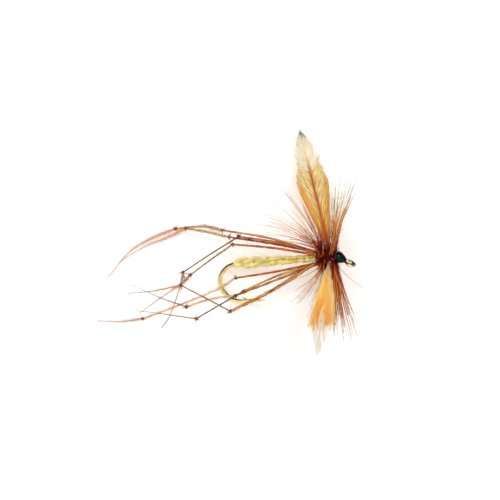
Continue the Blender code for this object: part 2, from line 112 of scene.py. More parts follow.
def shared_effect(name, output, *inputs):
    """A new node group with titled inputs and one output: the group, what goes in, what comes out."""
    group = bpy.data.node_groups.new(name, "ShaderNodeTree")
    for title, kind in inputs:
        group.interface.new_socket(title, in_out="INPUT", socket_type="NodeSocket" + kind)
    group.interface.new_socket(output, in_out="OUTPUT", socket_type="NodeSocketFloat")
    given = group.nodes.new("NodeGroupInput").outputs
    return group, given, group.nodes.new("NodeGroupOutput").inputs[output]


mottle_group, given, put = shared_effect("mottle_in_place", "Mottle", ("Place", "Vector"),
                                         ("Scale", "Float"), ("Detail", "Float"))
drawn = node(mottle_group, "TexNoise", {"Vector": given["Place"], "Scale": given["Scale"],
                                        "Detail": given["Detail"]})
mottle_group.links.new(drawn.outputs["Fac"], put)


def mottle(tree, scale, detail=3.0):
    """Soft noise around 0.5, drawn at a scale on the piece's Object coordinates."""
    place = node(tree, "TexCoord").outputs["Object"]
    return node(tree, "Group", {"Place": place, "Scale": scale, "Detail": detail},
                node_tree=mottle_group).outputs["Mottle"]


def paint(red, green, blue):
    """A colour as a screen shows it, 0 to 255, turned into the linear light that a shader takes."""
    screen = np.array([red, green, blue]) / 255.0
    linear = np.where(screen < 0.04045, screen / 12.92, ((screen + 0.055) / 1.055) ** 2.4)
    return (*linear.tolist(), 1.0)


def ramp(tree, factor, *stops):
    """A colour that changes along a factor, through (place, colour) stops."""
    made = node(tree, "ValToRGB", {"Fac": factor})
    steps = made.color_ramp.elements
    while len(steps) < len(stops):
        steps.new(1.0)
    for step, (place, colour) in zip(steps, stops):
        step.position = place
        step.color = colour
    return made.outputs["Color"]


def entry(shader, key):
    """An input of a shader by its name in small letters, such as base_color."""
    return shader.inputs[key.replace("_", " ").title().replace("Ior", "IOR")]


def finish(name, **plain):
    """A new material with its plain values set on the Principled shader: tree, shader, material."""
    material = bpy.data.materials.new(name)
    material.use_nodes = True
    shader = material.node_tree.nodes["Principled BSDF"]
    for key, value in plain.items():
        entry(shader, key).default_value = value
    return material.node_tree, shader, material


def feed(shader, **outputs):
    """Join outputs that change over the surface to a shader's inputs."""
    for key, output in outputs.items():
        shader.id_data.links.new(output, entry(shader, key))


def seen_rays(tree):
    """1 on rays that come from the camera, straight, mirrored or through glass; 0 on the others."""
    path = node(tree, "LightPath").outputs
    seen = calc(tree, "MAXIMUM", path["Is Camera Ray"], path["Is Glossy Ray"])
    return calc(tree, "MAXIMUM", seen, path["Is Transmission Ray"])


# To the camera, part of the board's white is its own warm glow, so that shadows on it look warm.
tree, shader, board_white = finish("board_white", roughness=0.85, specular_ior_level=0.1,
                                   emission_color=board_glow)
grain = mottle(tree, 220.0)
white = ramp(tree, grain, (0.3, paint(250, 242, 230)), (0.7, paint(252, 246, 236)))
seen = seen_rays(tree)
feed(shader, base_color=blended(tree, seen, white, board_seen), emission_strength=seen)

side, row = np.linspace(-board_half, board_half, board_cells + 1), board_cells + 1
corner = np.stack(np.meshgrid(side, side, indexing="ij"), -1).reshape(-1, 2)
board_points = np.column_stack([corner, np.full(len(corner), board_level)])
cell = (np.arange(board_cells)[:, None] * row + np.arange(board_cells)).reshape(-1, 1)
board_mesh = bpy.data.meshes.new("board")
board_mesh.from_pydata(board_points.tolist(), [], (cell + [0, row, row + 1, 1]).tolist())
board_mesh.materials.append(board_white)
board = bpy.data.objects.new("board", board_mesh)
scene.collection.objects.link(board)

room = bpy.data.worlds.new("pale_room")
room.use_nodes = True
tree = room.node_tree
level = remap(tree, seen_rays(tree), 0.0, 1.0, room_light, room_seen)
aim = node(tree, "TexCoord").outputs["Generated"]
height = node(tree, "VectorMath", {0: aim, 1: wall_way}, operation="DOT_PRODUCT").outputs["Value"]
wall = remap(tree, height, *wall_edge, wall_shade, 0.0)
wall = calc(tree, "MULTIPLY", wall, node(tree, "LightPath").outputs["Is Glossy Ray"])
tree.nodes["Background"].inputs["Color"].default_value = (1.0, 1.0, 1.0, 1.0)
feed(tree.nodes["Background"], strength=calc(tree, "SUBTRACT", level, wall))
scene.world = room

for name, size, power, spot in lamps:
    lamp_data = bpy.data.lights.new(name, "AREA")
    lamp_data.shape = "DISK"
    lamp_data.size = size
    lamp_data.energy = power
    lamp_data.color = lamp_tint
    lamp = bpy.data.objects.new(name, lamp_data)
    lamp.location = spot
    reach = np.array(spot) - [*view_centre, 0.0]
    tilt = math.acos(reach[2] / np.linalg.norm(reach))
    lamp.rotation_euler = (0.0, tilt, math.atan2(reach[1], reach[0]))
    scene.collection.objects.link(lamp)

lens = bpy.data.cameras.new("overhead_camera")
lens.sensor_width = 36.0
lens.lens = lens.sensor_width * camera_height / view_width
lens.clip_start = 0.005
overhead = bpy.data.objects.new("overhead_camera", lens)
overhead.location = (*view_centre, view_level + camera_height)
scene.collection.objects.link(overhead)
scene.camera = overhead

# Hook
# A long-shank dry-fly hook of carbon-steel wire, bent round, with a ground and barbed point and
# the other end drawn thin into a turned-down ring eye, under a pale bronze lacquer. The side that
# faces the fly's back is painted dark, a painted dark reflection.
nose_up, back_roll, heading = np.radians([18.0, 15.0, 4.6])
wire_radius, point_radius = 0.00033, 0.00003
rear_shank, front_shank = 0.0144, 0.00103
bend_radius = 0.0029
spear_flare, spear_length, point_taper = math.radians(1.0), 0.0038, 0.0026
behind_taper = (0.0030, 0.0034)
barb_from_point, barb_length, barb_rise = 0.0028, 0.0010, math.radians(40.0)
barb_radius, barb_curl = 0.00013, 0.00012
neck_drop, neck_radius, neck_length = math.radians(35.0), 0.0010, 0.0012
eye_wire_radius, eye_radius = 0.00025, 0.000675
eye_station = front_shank + neck_radius * neck_drop + neck_length + eye_radius
eye_map, barb_map = 0.5, 0.8
# The way that the wire's painted dark reflection faces.
painted_dark_side_way = (-0.25, 0.97, 0.0)


def turned_axes():
    """Axes of the shank as columns: a roll about the shank, then the nose lifted, then heading."""
    ch, sh, cn, sn = math.cos(heading), math.sin(heading), math.cos(nose_up), math.sin(nose_up)
    cr, sr = math.cos(back_roll), math.sin(back_roll)
    about_z = np.array([[ch, -sh, 0], [sh, ch, 0], [0, 0, 1]])
    about_y = np.array([[cn, 0, -sn], [0, 1, 0], [sn, 0, cn]])
    about_x = np.array([[1, 0, 0], [0, cr, -sr], [0, sr, cr]])
    return about_z @ about_y @ about_x


def wire_line(s):
    """Centre of the wire at distance s from the hackle's middle, in the shank's axes: straight to
    the neck, an arc of the neck's radius, then straight to the eye. Also the neck's turn there."""
    s = np.asarray(s, float)
    turn = np.clip((s - front_shank) / neck_radius, 0.0, neck_drop)
    run = np.maximum(s - front_shank - neck_radius * neck_drop, 0.0)
    x = np.minimum(s, front_shank) + neck_radius * np.sin(turn) + run * np.cos(turn)
    y = -neck_radius * (1.0 - np.cos(turn)) - run * np.sin(turn)
    return np.stack([x, y, np.zeros_like(x)], -1), turn


shank_axes = turned_axes()
shank_way, side_way = shank_axes[:, 0], shank_axes[:, 2]


def on_fly(points):
    """Points in the shank's axes, measured from the hackle's middle, moved into the frame."""
    return (points - wire_line(eye_station)[0]) @ shank_axes.T


def strands(paths, radii, sides, way, flat=1.0, start=0.0, spread=0.02):
    """Strands as rings carried along paths. A ring's first axis is square to the path and to a
    given way, its second is square to both; its points are centre + radius * (cos * first
    + flat * sin * second). Map: x is the strand's start plus its way round, y runs along it."""
    paths = np.asarray(paths, float)
    paths = paths[None] if paths.ndim == 2 else paths
    count, rings = paths.shape[:2]
    if np.ndim(radii) < 3:
        radii = np.broadcast_to(np.asarray(radii, float), (count, rings))[..., None]
    along = np.gradient(paths, axis=1)
    along /= np.linalg.norm(along, axis=2, keepdims=True)
    first = np.cross(np.broadcast_to(way, paths.shape), along)
    first /= np.linalg.norm(first, axis=2, keepdims=True)
    second = np.cross(along, first)
    turn = np.arange(sides) / sides * math.tau
    ring = np.cos(turn)[:, None] * first[:, :, None]
    ring = ring + flat * np.sin(turn)[:, None] * second[:, :, None]
    points = paths[:, :, None] + radii[..., None] * ring
    index = np.arange(count * rings * sides).reshape(count, rings, sides)
    after = np.roll(index, -1, axis=2)
    walls = np.stack([index[:, :-1], after[:, :-1], after[:, 1:], index[:, 1:]], -1)
    ends = np.concatenate([index[:, 0, ::-1], index[:, -1]])
    begin = np.broadcast_to(np.asarray(start, float), (count,))[:, None, None]
    x = begin + np.broadcast_to(turn / math.tau * spread, (count, rings, sides))
    y = np.broadcast_to(np.linspace(0.0, 1.0, rings)[:, None], (count, rings, sides))
    return points.reshape(-1, 3), [walls.reshape(-1, 4), ends], np.stack([x, y], -1).reshape(-1, 2)


def gathered(name, *shells):
    """One mesh from several shells of points, faces and map places."""
    points, faces, places, shift = [], [], [], 0
    for shell_points, shell_faces, shell_places in shells:
        points.append(shell_points)
        places.append(shell_places)
        faces += [face for block in shell_faces for face in (block + shift).tolist()]
        shift += len(shell_points)
    mesh = bpy.data.meshes.new(name)
    mesh.from_pydata(np.concatenate(points).tolist(), [], faces)
    corner = np.empty(len(mesh.loops), int)
    mesh.loops.foreach_get("vertex_index", corner)
    mesh.uv_layers.new(name="OFBake").data.foreach_set("uv", np.concatenate(places)[corner].ravel())
    mesh.shade_smooth()
    return mesh


def piece(name, mesh, material, body, slot, *nodes):
    """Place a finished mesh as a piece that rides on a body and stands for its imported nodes."""
    mesh.materials.append(material)
    made = bpy.data.objects.new(name, mesh)
    scene.collection.objects.link(made)
    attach(made, body)
    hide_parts(*nodes)


def hook_path():
    """The wire from its point to the eye: a straight spear, a half circle, the shank, the neck.
    The radius grows from the point over the taper and thins again along the neck. Also the point,
    and the way that it looks."""
    bend = np.linspace(math.radians(270.0) - spear_flare, math.radians(90.0), 48)
    middle = np.array([-rear_shank, -bend_radius, 0.0])
    arc = middle + bend_radius * np.stack([np.cos(bend), np.sin(bend), 0 * bend], -1)
    ahead = np.array([math.cos(spear_flare), -math.sin(spear_flare), 0.0])
    back = np.concatenate([np.linspace(0.0, point_taper, 16), behind_taper])
    spear = arc[0] + (spear_length - back)[:, None] * ahead
    shank = wire_line(np.linspace(-rear_shank, front_shank, 20)[1:])[0]
    neck = wire_line(np.linspace(front_shank, eye_station - eye_radius, 18)[1:])[0]
    grown = point_radius + (wire_radius - point_radius) * np.clip(back / point_taper, 0, 1) ** 0.8
    thin = np.linspace(wire_radius, eye_wire_radius, 18)[1:]
    radii = np.concatenate([grown, np.full(len(arc) + len(shank), wire_radius), thin])
    return np.concatenate([spear, arc, shank, neck]), radii, spear[0], ahead


def eye_loop():
    """The eye: a circle from the neck's end, round an axis square to the neck."""
    middle, turn = wire_line(eye_station)
    neck_way = np.array([math.cos(turn), -math.sin(turn), 0.0])
    angle = np.linspace(0.0, math.tau, 65)[:, None]
    ring = np.sin(angle) * np.array([0, 0, 1.0]) - np.cos(angle) * neck_way
    axis = shank_axes @ np.array([math.sin(turn), math.cos(turn), 0.0])
    return strands(on_fly(middle + eye_radius * ring), eye_wire_radius, 18, axis, start=eye_map)


def cut_barb(point, ahead):
    """The barb: a sliver that rises back from the spear, bends down by the square of its share
    and tapers evenly."""
    root = point - barb_from_point * ahead + np.array([0, 0.25 * wire_radius, 0])
    rise = np.array([-math.cos(barb_rise), math.sin(barb_rise), 0.0])
    share = np.linspace(0.0, 1.0, 9)[:, None]
    path = root + barb_length * share * rise + barb_curl * share ** 2 * np.array([-1, -0.4, 0])
    return strands(on_fly(path), barb_radius * (1.0 - 0.88 * share[:, 0]), 10, side_way, flat=0.7,
                   start=barb_map)


streak_group, given, put = shared_effect("streaks_along_strand", "Streak", ("Place", "Vector"),
                                         ("Across", "Float"), ("Along", "Float"), ("Shift", "Float"))
stretch = node(streak_group, "CombineXYZ", {0: given["Across"], 1: given["Along"], 2: 1.0})
moved = node(streak_group, "VectorMath",
             {0: given["Place"], 1: stretch.outputs[0], 2: given["Shift"]}, operation="MULTIPLY_ADD")
drawn = node(streak_group, "TexNoise", {"Vector": moved.outputs[0], "Scale": 1.0, "Detail": 2.5})
streak_group.links.new(drawn.outputs["Fac"], put)


def streaks(tree, across, along, shift=0.0):
    """Streaks that run along a strand: noise on the piece's own map, stretched by two scales."""
    place = node(tree, "TexCoord").outputs["UV"]
    return node(tree, "Group", {"Place": place, "Across": across, "Along": along, "Shift": shift},
                node_tree=streak_group).outputs["Streak"]


def own_map(tree):
    """The piece's own map: X tells strands apart and goes round them, Y runs along them."""
    return node(tree, "SeparateXYZ", {0: node(tree, "TexCoord").outputs["UV"]}).outputs


def roughen(shader, height, strength, depth):
    """Relief too fine to model, as a bump from a height that changes over the surface."""
    tree = shader.id_data
    made = node(tree, "Bump", {"Height": height, "Strength": strength, "Distance": depth})
    feed(shader, normal=made.outputs["Normal"])


# Painted dark reflection on the side of the wire that faces the fly's back, weaker along the
# spear. The barb is dark and the eye paler.
tree, shader, bronze = finish("bronzed_wire", metallic=1.0)
stain, lines, axis = mottle(tree, 700.0, 4.0), streaks(tree, 900.0, 6.0), own_map(tree)
coat = ramp(tree, stain, (0.30, paint(190, 152, 80)), (0.50, paint(240, 214, 136)),
            (0.72, paint(252, 238, 178)))
paler_eye_and_barb = remap(tree, axis["X"], eye_map - 0.2, eye_map - 0.1, 0.0, 0.7)
coat = blended(tree, paler_eye_and_barb, coat, paint(246, 240, 222))
facing = node(tree, "TexCoord").outputs["Normal"]
back = node(tree, "VectorMath", {0: facing, 1: painted_dark_side_way}, operation="DOT_PRODUCT")
painted_dark_side_and_dark_barb = calc(tree, "MULTIPLY_ADD", stain, 0.25, back.outputs["Value"])
painted_dark_side_and_dark_barb = remap(tree, painted_dark_side_and_dark_barb, 0.24, 0.40, 0.0, 0.95)
painted_dark_side_and_dark_barb = calc(tree, "MULTIPLY", painted_dark_side_and_dark_barb, remap(tree, axis["Y"], 0.16, 0.26, 0.3))
painted_dark_side_and_dark_barb = calc(tree, "MAXIMUM", painted_dark_side_and_dark_barb, remap(tree, axis["X"], barb_map - 0.2, barb_map - 0.1, 0.0, 0.9))
feed(shader, base_color=blended(tree, painted_dark_side_and_dark_barb, coat, paint(40, 28, 8)),
     roughness=remap(tree, lines, 0.0, 1.0, 0.08, 0.20))
roughen(shader, lines, 0.06, 0.00002)
wire, wire_radii, hook_point, point_way = hook_path()
hook_mesh = gathered("hook_wire", strands(on_fly(wire), wire_radii, 24, side_way), eye_loop(),
                     cut_barb(hook_point, point_way))
piece("hook_wire", hook_mesh, bronze, "fly_body", "bronzed_steel", "hook")

# Thread base
# Waxed silk tying thread, wound in touching turns on the bare wire from the neck to the bend, so
# that nothing tied over it can turn or slip on the hook.
thread_pitch, thread_layer, thread_groove, end_step = 0.00012, 0.00009, 0.00002, 1e-6


def wound(rear, front, radius, pitch, depth, sides=48, per_turn=8):
    """A layer of touching turns on the wire from rear to front: the radius at a share of the
    length, sunk between turns by depth * (1 - square root of |cos(pi * helix)|), where the helix
    is s / pitch - angle / full turn. Both ends close onto the wire."""
    rings = int((front - rear) / pitch * per_turn) + 2
    share = np.linspace(0.0, 1.0, rings)
    s = rear + (front - rear) * share
    helix = s[:, None] / pitch - np.arange(sides) / sides
    crown = np.sqrt(np.abs(np.cos(math.pi * helix)))
    body = radius(share)[:, None] - depth * (1.0 - crown)
    s = np.concatenate([s[:1] - end_step, s, s[-1:] + end_step])
    closed = np.full((1, sides), wire_radius)
    body = np.concatenate([closed, body, closed])
    return strands(on_fly(wire_line(s)[0]), body[None], sides, side_way, spread=1.0)


def thread_look(name, dark, light, wax):
    """Waxed thread: its colour changes softly over the winding, and its plies are a fine relief."""
    tree, shader, material = finish(name, roughness=0.45, coat_weight=wax, coat_roughness=0.3)
    feed(shader, base_color=ramp(tree, mottle(tree, 2600.0), (0.32, dark), (0.68, light)))
    roughen(shader, mottle(tree, 30000.0, 1.0), 0.3, 0.00001)
    return material


base_shell = wound(-rear_shank, front_shank, lambda q: np.full(len(q), wire_radius + thread_layer),
                   thread_pitch, thread_groove, sides=24, per_turn=5)
piece("thread_turns", gathered("thread_turns", base_shell),
      thread_look("brown_silk", paint(52, 24, 14), paint(104, 54, 30), 0.2),
      "fly_body", "tying_thread", "thread_base")

# Abdomen
# Pale yellow fur teased out, spun onto the waxed thread and wound forward as a tapered body. The
# fibres that the thread doesn't catch stand off it as a soft halo.
chance = np.random.default_rng(5)
abdomen_rear, abdomen_front = -0.0143, -0.00178
tail_radius, full_radius, thorax_radius = 0.00047, 0.00068, 0.00053
dubbing_pitch, dubbing_ridge = 0.0011, 0.00006
core_radius, core_depth, core_least, tail_sink = 0.00044, 0.00006, 0.00002, 0.00010
tuft_count, tuft_fibres, tuft_spread = 220, 11, 0.00016
fur_radius, fur_root, tail_root = 0.000014, 0.00008, 0.00010
fur_lengths, fur_rings, fur_sides = (0.00035, 0.00120), 6, 3
leg_room, leg_least, board_gap = 0.0004, 0.0001, 0.00003
# Where round the body the painted shade line lies.
shade_line_turn = 0.165


def abdomen_radius(q):
    """Radius from the tail, 0, to the thorax, 1: a quarter sine up to full, then a straight fall."""
    swell = np.sin(math.pi / 2 * np.minimum(q / 0.28, 1.0))
    full = tail_radius + (full_radius - tail_radius) * swell
    return full + (thorax_radius - full_radius) * np.maximum(q - 0.15, 0.0) / 0.85


def abdomen_core():
    """The wound rope of fur: the body's radius, a ridge that winds round once a pitch, and lumps
    that are sums of sines round and along the body. It closes on a quarter circle at either end,
    and its tail runs out onto the wire."""
    rings, sides = 220, 40
    q = np.linspace(-0.03, 1.0, rings)
    s = abdomen_rear + (abdomen_front - abdomen_rear) * q
    angle = np.arange(sides) / sides * math.tau
    ridge = np.cos(math.tau * s[:, None] / dubbing_pitch - angle)
    lumps = sum(chance.uniform(0.3, 1.0) * np.sin(chance.integers(20, 90) * q[:, None]
                + chance.integers(1, 5) * angle + chance.uniform(0, 6.3)) for _ in range(9)) / 4.0
    radius = abdomen_radius(np.maximum(q, 0.0))[:, None] - core_depth
    radius = radius + dubbing_ridge * (0.7 * ridge + 2.0 * lumps)
    open_share = np.clip(np.minimum(q * 7.0, (1.0 - q) * 60.0), 0.0, 1.0)[:, None]
    swell = np.sqrt(1.0 - (1.0 - open_share) ** 2)
    radius = core_radius + np.maximum(radius - core_radius, core_least) * swell
    radius -= tail_sink * np.clip(-0.5 - q / 0.02, 0.0, 1.0)[:, None]
    return strands(on_fly(wire_line(s)[0]), radius[None], sides, side_way, spread=1.0)


def clear_of_legs(paths):
    """Which fibres keep out of the legs' way: no place on one lies in the wedge that a leg's first
    length sweeps about its hip between its limits, at that length's height, with a small margin."""
    joints = {joint["name"]: joint for joint in frame["joints"]}
    clear = np.ones(len(paths), bool)
    for leg in range(1, 9):
        hip, knee = (joints["leg_%d_%s" % (leg, name)] for name in ("hip", "knee"))
        off = paths - np.array(hip["pos_m"])
        arm = np.array(knee["pos_m"]) - np.array(hip["pos_m"])
        out = np.hypot(off[..., 0], off[..., 1])
        share = out / math.hypot(arm[0], arm[1])
        swing = np.arctan2(off[..., 1], off[..., 0]) - math.atan2(arm[1], arm[0])
        swing = (swing + math.pi) % math.tau - math.pi
        low, high = np.radians(hip["range_deg"])
        spare = leg_room / np.maximum(out, leg_least)
        inside = (share < 1.0) & (swing > low - spare) & (swing < high + spare)
        clear &= ~(inside & (np.abs(off[..., 2] - arm[2] * share) < leg_room)).any(axis=1)
    return clear


def outwards(angle):
    """Ways out from the shank at angles round it, in the shank's axes: cos * back + sin * side."""
    return np.stack([0 * angle, np.cos(angle), np.sin(angle)], -1)


def on_shank(s):
    """Points on the shank's centre line, in its own axes."""
    return np.column_stack([s, 0 * s, 0 * s])


def loose_fur():
    """Fine fibres of fur, in tufts that share a way and a lift. Each starts just under the surface
    at a place along and round the body, runs back at its own slant, lifts off on a quarter sine
    and bends aside by the square of its share. The fur is shorter below the body and lies on the
    board. A fibre's map place is its root's."""
    fur_count = tuft_count * tuft_fibres
    tuft = np.repeat(np.arange(tuft_count), tuft_fibres)
    q = (chance.uniform(0.0, 1.0, tuft_count) ** 1.2)[tuft]
    angle = chance.uniform(0.0, math.tau, tuft_count)[tuft] + chance.normal(0.0, 0.16, fur_count)
    s = abdomen_rear + (abdomen_front - abdomen_rear) * q + chance.normal(0.0, tuft_spread, fur_count)
    out = outwards(angle)
    across = np.cross([1.0, 0, 0], out)
    sunk = fur_root + tail_root * np.maximum(1.0 - 10.0 * q, 0.0)
    root = on_shank(s) + (abdomen_radius(q) - sunk)[:, None] * out
    slant = chance.normal(0.0, 0.9, (tuft_count, 1))[tuft] + chance.normal(0.0, 0.22, (fur_count, 1))
    way = np.array([-1.0, 0, 0]) * np.cos(slant) + across * np.sin(slant)
    length = chance.uniform(*fur_lengths, (fur_count, 1)) * (0.60 + 0.65 * (1.0 - q[:, None]))
    shaggy = np.where(chance.random((tuft_count, 1)) < 0.07, 1.5, 1.0)[tuft]
    length *= np.minimum(0.6 + 4.0 * q[:, None], 1.0) * shaggy
    length *= 1.0 - 0.45 * np.maximum(-np.cos(angle), 0.0)[:, None]
    share = np.linspace(0.0, 1.0, fur_rings)[None, :, None]
    lift = chance.uniform(0.15, 1.0, (tuft_count, 1, 1))[tuft] * (1.0 - 0.65 * q)[:, None, None]
    curl = way[:, None] * share + lift * out[:, None] * np.sin(math.pi / 2 * share) * 0.7
    curl = curl + 0.25 * across[:, None] * chance.normal(0, 1, (fur_count, 1, 1)) * share ** 2
    paths = on_fly(root[:, None] + length[:, None] * curl)
    paths[..., 2] = np.maximum(paths[..., 2], board_level + board_gap)
    stay = clear_of_legs(paths)
    points, faces, places = strands(paths[stay], fur_radius * (1.0 - 0.8 * share[..., 0]), fur_sides,
                                    side_way + 0.3 * shank_way)
    spot = 0.98 * np.stack([angle[stay] / math.tau % 1.0, q[stay]], -1)[:, None, None]
    places = spot + places.reshape(-1, fur_rings, fur_sides, 2) * [0.5, 0.02]
    return points, faces, places.reshape(-1, 2)


# Painted shade: an olive line along the body's upper side, where shade falls in the fur's groove.
tree, shader, fur = finish("yellow_fur", roughness=0.8, sheen_weight=1.0, sheen_roughness=0.5,
                           sheen_tint=(1.0, 0.90, 0.55, 1.0), specular_ior_level=0.25)
patch, wisp, axis = streaks(tree, 2.2, 11.0), streaks(tree, 34.0, 150.0), own_map(tree)
yellow = ramp(tree, calc(tree, "MULTIPLY_ADD", wisp, 0.35, patch), (0.44, paint(255, 251, 212)),
              (0.62, paint(255, 246, 172)), (0.74, paint(255, 230, 110)), (0.86, paint(255, 194, 58)))
painted_shade_line = calc(tree, "ABSOLUTE", calc(tree, "SUBTRACT", axis["X"], shade_line_turn))
painted_shade_line = calc(tree, "MULTIPLY_ADD", streaks(tree, 3.0, 60.0, 2.0), -0.12, painted_shade_line)
painted_shade_line = remap(tree, painted_shade_line, -0.045, -0.015, 0.75, 0.0)
painted_shade_line = calc(tree, "MULTIPLY", painted_shade_line, remap(tree, axis["Y"], 0.15, 0.45, 0.1))
feed(shader, base_color=blended(tree, painted_shade_line, yellow, paint(146, 134, 62)))
roughen(shader, wisp, 0.35, 0.00004)
piece("abdomen_fur", gathered("abdomen_fur", abdomen_core(), loose_fur()), fur,
      "fly_body", "yellow_dubbing", "abdomen_dubbing")

# Legs
# Eight single barbs from a pheasant's tail feather. Each has two overhand knots pulled tight, at
# the knee and the ankle, and short flue along its sides; the butts lie under the thread. Routes
# are in millimetres; flue and looks are the femur's, the shin's and the foot's.
mm = 0.001
leg_routes = (
    {"bow": 0.45, "shin": [(-21.7, 5.55)], "ankle": (-25.9, 5.18, -6.35),
     "foot": [(-29.5, 3.75), (-32.8, 1.7)], "tip": (-36.0, -2.15, -6.5), "flue": (0.45, 0.9, 1.7),
     "looks": ("rosy", "tan", "orange")},
    {"bow": 0.1, "shin": [(-21.4, 4.74)], "ankle": (-24.3, 5.25, -5.65),
     "foot": [(-27.3, 3.77), (-30.3, 2.6)], "tip": (-34.3, 0.22, -5.8), "flue": (0.45, 0.8, 1.5),
     "looks": ("rust", "tan", "orange")},
    {"bow": 0.3, "shin": [(-20.6, 1.4)], "ankle": (-24.7, -1.33, -4.9),
     "foot": [(-24.9, -2.74), (-26.6, -7.6)], "tip": (-27.9, -9.63, -5.2), "flue": (0.45, 0.15, 1.0),
     "looks": ("rust", "dark", "tan")},
    {"bow": 0.2, "shin": [(-20.5, 0.6)], "ankle": (-23.6, -1.7, -4.2),
     "foot": [(-24.9, -3.03), (-28.0, -5.1)], "tip": (-31.3, -7.5, -4.5), "flue": (0.45, 0.4, 1.0),
     "looks": ("rust", "olive", "tan")},
    {"bow": -0.15, "shin": [(-20.1, -4.07), (-26.9, -6.81)], "ankle": (-30.6, -8.18, -3.2),
     "foot": [(-34.0, -8.6)], "tip": (-37.4, -8.5, -3.4), "flue": (0.3, 0.8, 1.2),
     "looks": ("rust", "pale", "grey")},
    {"bow": 0.0, "shin": [(-20.7, -5.27)], "ankle": (-24.1, -6.4, -2.5),
     "foot": [(-28.0, -5.05)], "tip": (-32.4, -3.1, -2.7), "flue": (0.45, 0.7, 0.4),
     "looks": ("straw", "pale", "olive")},
    {"bow": 0.4, "shin": [(-19.2, -6.1)], "ankle": (-22.7, -8.14, -1.8),
     "foot": [(-28.2, -7.34)], "tip": (-31.9, -6.9, -2.0), "flue": (0.45, 0.1, 0.3),
     "looks": ("straw", "dark", "olive")},
    {"bow": -0.4, "shin": [(-21.2, -5.1)], "ankle": (-24.9, -3.18, -1.1),
     "foot": [(-28.8, -4.0)], "tip": (-32.8, -4.4, -1.3), "flue": (1.3, 0.2, 0.8),
     "looks": ("straw", "olive", "tan")},
)
femur_radius, shin_radius, foot_radius, end_radius = 0.00018, 0.00011, 0.00008, 0.00002
shaft_map, shaft_spread = 0.1, 0.3
flue_spacing, flue_reach, flue_radius = 0.00006, 0.0009, 0.000007
knot_radius, knot_fibre, knot_height = 0.00027, 0.00009, 1.3
spike_count, spike_reach, spike_radius = 13, 0.00085, 0.000055
fibre_tints = {name: (paint(*dark), paint(*light)) for name, dark, light in (
    ("rust", (96, 24, 4), (232, 118, 30)), ("straw", (118, 56, 12), (240, 166, 70)),
    ("rosy", (126, 58, 22), (238, 164, 98)), ("tan", (140, 88, 32), (238, 188, 104)),
    ("orange", (196, 112, 44), (246, 184, 108)), ("dark", (56, 32, 6), (146, 96, 34)),
    ("olive", (90, 62, 20), (204, 150, 68)), ("pale", (196, 132, 74), (255, 220, 170)),
    ("grey", (164, 120, 84), (238, 206, 172)))}


def curve_through(points, count):
    """Evenly shared points on a smooth cubic curve through the given points. Its slope at each is
    half the way from the point before to the point after."""
    points = np.asarray(points, float)
    points = np.vstack([2 * points[0] - points[1], points, 2 * points[-1] - points[-2]])
    u = np.linspace(0.0, len(points) - 3.0, count)
    i = np.minimum(u.astype(int), len(points) - 4)
    t = (u - i)[:, None]
    a, b, c, d = points[i], points[i + 1], points[i + 2], points[i + 3]
    square, cube = 2 * a - 5 * b + 4 * c - d, 3 * b - a - 3 * c + d
    return 0.5 * (2 * b + (c - a) * t + square * t ** 2 + cube * t ** 3)


def lengthwise(start, via, end):
    """A run of points: the start, way points in millimetres whose height is shared out, the end."""
    inner = [(x * mm, y * mm, start[2] + (end[2] - start[2]) * (k + 1) / (len(via) + 1))
             for k, (x, y) in enumerate(via)]
    return [start, *inner, end]


def unit(ways):
    """Ways brought to a length of 1."""
    return ways / np.linalg.norm(ways, axis=-1, keepdims=True)


def flue_hairs(path, radii, count, reach):
    """Barbules: short tapered hairs on both sides of a fibre, evenly along it with some scatter.
    A hair runs towards the fibre's tip in proportion to its share and out by the square root."""
    share = np.linspace(0.02, 0.98, count) + chance.uniform(-0.5, 0.5, count) / count
    at = np.clip(share, 0.0, 1.0) * (len(path) - 1)
    i = np.minimum(at.astype(int), len(path) - 2)
    part = (at - i)[:, None]
    root = path[i] * (1 - part) + path[i + 1] * part
    along = unit(path[i + 1] - path[i])
    across = unit(np.cross(along, [0.0, 0.0, 1.0]))
    turn = chance.normal(0.0, 0.5, count) + np.where(np.arange(count) % 2, 0.0, math.pi)
    turn = turn[:, None]
    out = np.cos(turn) * across + np.sin(turn) * np.cross(along, across)
    thick = np.interp(share, np.linspace(0, 1, len(radii)), radii)[:, None]
    uneven = chance.uniform(0.55, 1.0, count)[:, None] * np.clip(thick / radii[0], 0.4, 1.0)
    step = np.linspace(0.0, 1.0, 5)[None, :, None]
    lean = chance.uniform(0.30, 0.55, count)[:, None, None]
    run = out[:, None] * lean * np.sqrt(step + 1e-4) + along[:, None] * step
    taper = 0.18 * thick * (1.0 - 0.8 * step[..., 0]) + flue_radius
    return strands(root[:, None] + reach * uneven[:, :, None] * run, taper, 3, (0.2, 0.3, 1.0),
                   start=0.5)


